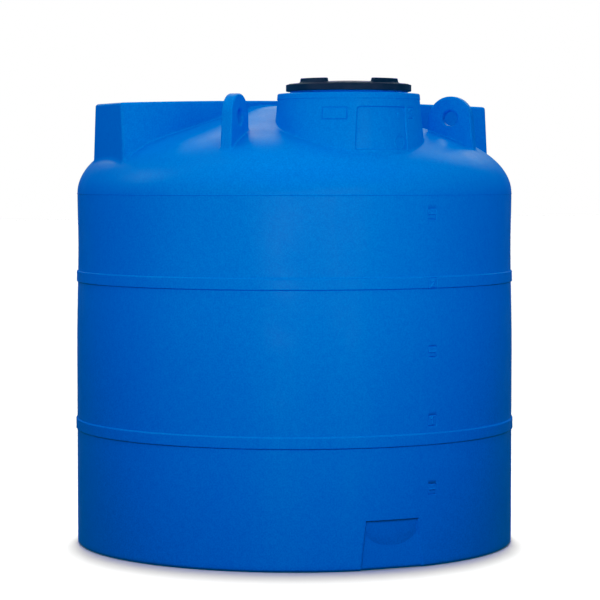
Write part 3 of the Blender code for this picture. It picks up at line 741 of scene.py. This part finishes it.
def dark_plastic(name, colour, lighter, roughness, grain, gloss):
    """Injection-moulded plastic with a fine spark-eroded grain and a little wear."""
    material, tree, shader = new_material(name)
    wear = ranged(tree, noise(tree, 14.0, 5.0), 0.0, 1.0, 0.45, 0.75)
    tree.links.new(mixed(tree, wear, colour, lighter), shader.inputs["Base Color"])
    gloss_map = ranged(tree, noise(tree, 30.0, 4.0), roughness, roughness + 0.12)
    tree.links.new(gloss_map, shader.inputs["Roughness"])
    shader.inputs["Specular IOR Level"].default_value = gloss
    bumped(tree, shader, [(noise(tree, 40.0, 2.0), 0.1, 0.001), (noise(tree, grain, 2.0), 0.25, 0.0003)])
    return material


def rubber():
    """Matt black rubber with a grey bloom."""
    material, tree, shader = new_material("rubber")
    bloom = ranged(tree, noise(tree, 25.0, 4.0), 0.0, 1.0, 0.4, 0.8)
    colour = mixed(tree, bloom, (0.016, 0.016, 0.016), (0.035, 0.034, 0.033))
    tree.links.new(colour, shader.inputs["Base Color"])
    tree.links.new(ranged(tree, noise(tree, 60.0, 3.0), 0.62, 0.8), shader.inputs["Roughness"])
    bumped(tree, shader, [(noise(tree, 700.0, 3.0), 0.3, 0.0003)])
    return material


def mesh_metal():
    """Fine woven wire, drawn as crossing bands of bump and shade."""
    material, tree, shader = new_material("screen_wire")
    place = tree.nodes.new("ShaderNodeTexCoord")
    heights = []
    for axis in ("X", "Y"):
        wave = add(tree, "ShaderNodeTexWave", Scale=260.0, Distortion=0.0)
        wave.bands_direction = axis
        tree.links.new(place.outputs["Object"], wave.inputs["Vector"])
        heights.append(wave.outputs["Fac"])
    weave = tree.nodes.new("ShaderNodeMath")
    weave.operation = "MAXIMUM"
    for height, socket in zip(heights, weave.inputs):
        tree.links.new(height, socket)
    shade = ranged(tree, weave.outputs[0], 0.0, 1.0, 0.3, 0.9)
    tree.links.new(mixed(tree, shade, (0.03, 0.03, 0.03), (0.42, 0.43, 0.44)), shader.inputs["Base Color"])
    shader.inputs["Metallic"].default_value = 0.9
    tree.links.new(ranged(tree, noise(tree, 200.0), 0.35, 0.5), shader.inputs["Roughness"])
    bumped(tree, shader, [(weave.outputs[0], 0.5, 0.0004)])
    return material


# Studio.

FLOOR_HALF = 60.0
FLOOR_GLOW = 0.06
# Suns for the floor alone, as (lean from the zenith in degrees, strength), and each one's width.
FLOOR_SUNS = ((1.8, 4.6), (5.5, 4.2), (9.0, 4.0), (12.7, 3.0))
FLOOR_SUN_WIDTH = math.radians(6.0)


def floor_material():
    """A matt table that its own suns light to white, with a trace of glow in its shadow."""
    material, tree, shader = new_material("studio_floor")
    tint = ranged(tree, noise(tree, 1.5, 3.0), 0.0, 1.0)
    tree.links.new(mixed(tree, tint, (0.195, 0.195, 0.195), (0.20, 0.20, 0.20)), shader.inputs["Base Color"])
    shader.inputs["Roughness"].default_value = 0.9
    shader.inputs["Specular IOR Level"].default_value = 0.0
    shader.inputs["Emission Color"].default_value = (1.0, 1.0, 1.0, 1.0)
    shader.inputs["Emission Strength"].default_value = FLOOR_GLOW
    return material


def make_floor():
    half = FLOOR_HALF
    points = [(-half, -half, 0), (half, -half, 0), (half, half, 0), (-half, half, 0)]
    floor = mesh_piece("studio_floor", points, [(0, 1, 2, 3)])
    floor.data.materials.append(floor_material())
    floor.visible_diffuse = False
    floor.visible_glossy = False
    return floor


def light_floor(floor):
    """Small suns that lean from the zenith to behind the tank, whose soft shadow lies before it."""
    receivers = bpy.data.collections.new("floor_only")
    receivers.objects.link(floor)
    back = Vector(round_front(CAMERA_ANGLE + 180))
    for lean, strength in FLOOR_SUNS:
        light = bpy.data.lights.new("floor_sun", "SUN")
        light.energy = strength
        light.angle = FLOOR_SUN_WIDTH
        lamp = bpy.data.objects.new("floor_sun", light)
        towards = Vector((0, 0, math.cos(math.radians(lean)))) + back * math.sin(math.radians(lean))
        lamp.rotation_mode = "QUATERNION"
        lamp.rotation_quaternion = (-towards).to_track_quat("-Z", "Y")
        lamp.light_linking.receiver_collection = receivers
        bpy.context.scene.collection.objects.link(lamp)


def make_world(fill, sheen, backdrop):
    """Even light for surfaces, a brighter surround for reflections, and white behind everything."""
    world = bpy.data.worlds.new("studio")
    world.use_nodes = True
    tree = world.node_tree
    tree.nodes.clear()
    out = tree.nodes.new("ShaderNodeOutputWorld")
    path = tree.nodes.new("ShaderNodeLightPath")
    light = add(tree, "ShaderNodeBackground", Color=(1, 1, 1, 1), Strength=fill).outputs[0]
    for strength, ray in ((sheen, "Is Glossy Ray"), (backdrop, "Is Camera Ray")):
        other = add(tree, "ShaderNodeBackground", Color=(1, 1, 1, 1), Strength=strength)
        mix = tree.nodes.new("ShaderNodeMixShader")
        tree.links.new(path.outputs[ray], mix.inputs[0])
        tree.links.new(light, mix.inputs[1])
        tree.links.new(other.outputs[0], mix.inputs[2])
        light = mix.outputs[0]
    tree.links.new(light, out.inputs["Surface"])
    bpy.context.scene.world = world


FAR_SIZE, NEAR_SIZE, ROOF_SIZE = (2.5, 2.5), (1.3, 1.3), (1.2, 1.2)


def soft_box(name, angle, distance, height, size, power, target=(0.0, 0.0, 0.9)):
    """A rectangular light at an angle round the body, facing a target."""
    light = bpy.data.lights.new(name, "AREA")
    light.shape = "RECTANGLE"
    light.size, light.size_y = size
    light.energy = power
    lamp = bpy.data.objects.new(name, light)
    lamp.location = Vector(round_front(angle) * distance) + Vector((0, 0, height))
    lamp.rotation_mode = "QUATERNION"
    lamp.rotation_quaternion = (Vector(target) - lamp.location).to_track_quat("-Z", "Y")
    bpy.context.scene.collection.objects.link(lamp)
    return lamp


def make_lights():
    """Broad soft boxes far off, near ones at the front that leave the lower wall darker, and the few
    that show as sheens: one behind, over the roof, and two strips on the wall."""
    overhead = soft_box("overhead", 0, 0.01, 5.5, (4.0, 4.0), 100)
    soft_box("rear_left", -115, 4.9, 4.3, FAR_SIZE, 42)
    soft_box("low_left", -80, 5.9, 1.7, FAR_SIZE, 24)
    soft_box("low_right", 30, 5.9, 1.7, FAR_SIZE, 16)
    shoulder = (0.0, 0.0, 1.25)
    near = [
        soft_box("front_left", -50, 2.6, 1.5, NEAR_SIZE, 9.5, shoulder),
        soft_box("front", -25, 2.6, 1.5, NEAR_SIZE, 11, shoulder),
        soft_box("front_right", 0, 2.6, 1.6, NEAR_SIZE, 16.5, shoulder),
        soft_box("high_left", -60, 2.6, 2.9, NEAR_SIZE, 5, shoulder),
        soft_box("high_front", -10, 2.6, 2.6, NEAR_SIZE, 3, shoulder),
        soft_box("high_right", 50, 2.6, 2.9, NEAR_SIZE, 8, shoulder),
        soft_box("side_right", 70, 2.6, 2.2, NEAR_SIZE, 4.5, shoulder),
        soft_box("roof_left", -90, 1.5, 3.2, ROOF_SIZE, 8, shoulder),
        soft_box("roof_right", 90, 1.5, 3.2, ROOF_SIZE, 11, shoulder),
    ]
    for lamp in [overhead, *near]:
        lamp.visible_camera = False
        lamp.visible_glossy = False
    behind = soft_box("behind", 155, 5.5, 5.4, (9.0, 3.0), 150, (0, 0, 1.6))
    strips = [
        soft_box("strip_middle", -31, 6.5, 0.2, (0.45, 0.9), 48, (0, 0, 0.6)),
        soft_box("strip_right", 1, 6.0, 0.2, (0.20, 0.9), 30, (0, 0, 0.6)),
    ]
    behind.visible_camera = False
    behind.data.color = (1.0, 0.93, 0.74)
    for lamp in strips:
        lamp.visible_camera = False
        lamp.visible_diffuse = False


def make_camera():
    """The photo's place and lens, turned by small angles from facing the axis."""
    data = bpy.data.cameras.new("camera")
    data.angle = CAMERA_VIEW
    data.clip_end = 200
    camera = bpy.data.objects.new("camera", data)
    back = Vector(round_front(CAMERA_ANGLE))
    ahead = -back
    right = Vector((ahead.y, -ahead.x, 0.0))
    level = ahead * math.cos(CAMERA_YAW) + right * math.sin(CAMERA_YAW)
    look = level * math.cos(CAMERA_PITCH) + Vector((0, 0, math.sin(CAMERA_PITCH)))
    camera.location = back * CAMERA_DISTANCE + Vector((0, 0, CAMERA_HEIGHT))
    camera.rotation_mode = "QUATERNION"
    camera.rotation_quaternion = look.to_track_quat("-Z", "Y")
    bpy.context.scene.collection.objects.link(camera)
    bpy.context.scene.camera = camera


# Tones on display.

# Curves, as (scene value, shown value): blues are lifted in the shadows, reds are held down.
BLUE_TONES = (
    (0.02, 0.05), (0.05, 0.085), (0.12, 0.17), (0.20, 0.31),
    (0.28, 0.43), (0.45, 0.545), (0.60, 0.635), (0.80, 0.80),
)
RED_TONES = ((0.02, 0.0), (0.05, 0.02), (0.10, 0.06), (0.20, 0.165), (0.40, 0.39))


def set_tones():
    """The plain display transform, bent by the curves."""
    view = bpy.context.scene.view_settings
    view.view_transform = "Standard"
    view.look = "None"
    view.use_curve_mapping = True
    curves = view.curve_mapping
    curves.extend = "EXTRAPOLATED"
    for curve, tones in ((curves.curves[0], RED_TONES), (curves.curves[2], BLUE_TONES)):
        for place in tones:
            curve.points.new(*place)
    curves.update()


MARGIN = 0.01  # round a meshed field's box
ROOF_PITCH = 0.005
LID_PITCH = 0.002


def main():
    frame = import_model()
    shell_nodes = frame["record"]["behaviour"]["bodies"]["tank"]
    make_camera()
    set_tones()
    make_world(0.03, 0.16, 1.0)
    light_floor(make_floor())
    make_lights()

    blue = tank_plastic()
    low = (-BODY_RADIUS - MARGIN, -BODY_RADIUS - MARGIN, ROOF_FOOT - MARGIN)
    high = (BODY_RADIUS + MARGIN, BODY_RADIUS + MARGIN, NECK_TOP + MARGIN)
    roof = field_piece("tank_roof_shell", shell_field, low, high, ROOF_PITCH)
    shell = [roof, make_wall(), make_neck_skin(), make_spigot()]
    for piece in shell:
        piece.data.materials.append(blue)
        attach(piece, "tank")
        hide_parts(*shell_nodes)

    dark, pale = (0.023, 0.0085, 0.007), (0.038, 0.018, 0.015)
    lid_black = dark_plastic("lid_plastic", dark, pale, 0.42, 500.0, 0.22)
    reach = LID_RADIUS + 0.006
    low = (-reach, NECK_Y - reach, LID_FOOT - 0.006)
    high = (reach, NECK_Y + reach, GRIP_TOP + 0.006)
    lid = field_piece("screw_lid", lid_field, low, high, LID_PITCH)
    lid.data.materials.append(lid_black)
    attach(lid, "lid")
    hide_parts("manhole_lid")

    dark, pale = (0.010, 0.012, 0.015), (0.024, 0.026, 0.030)
    vent_black = dark_plastic("vent_plastic", dark, pale, 0.30, 1200.0, 0.4)
    finishes = {"vent_black": vent_black, "gasket_rubber": rubber(), "screen_mesh": mesh_metal()}
    for row in frame["record"]["subparts"]:
        material = finishes.get(row["material_slot"])
        if material:
            node = bpy.data.objects[row["node"]]
            for slot in node.material_slots:
                slot.material = material


main()
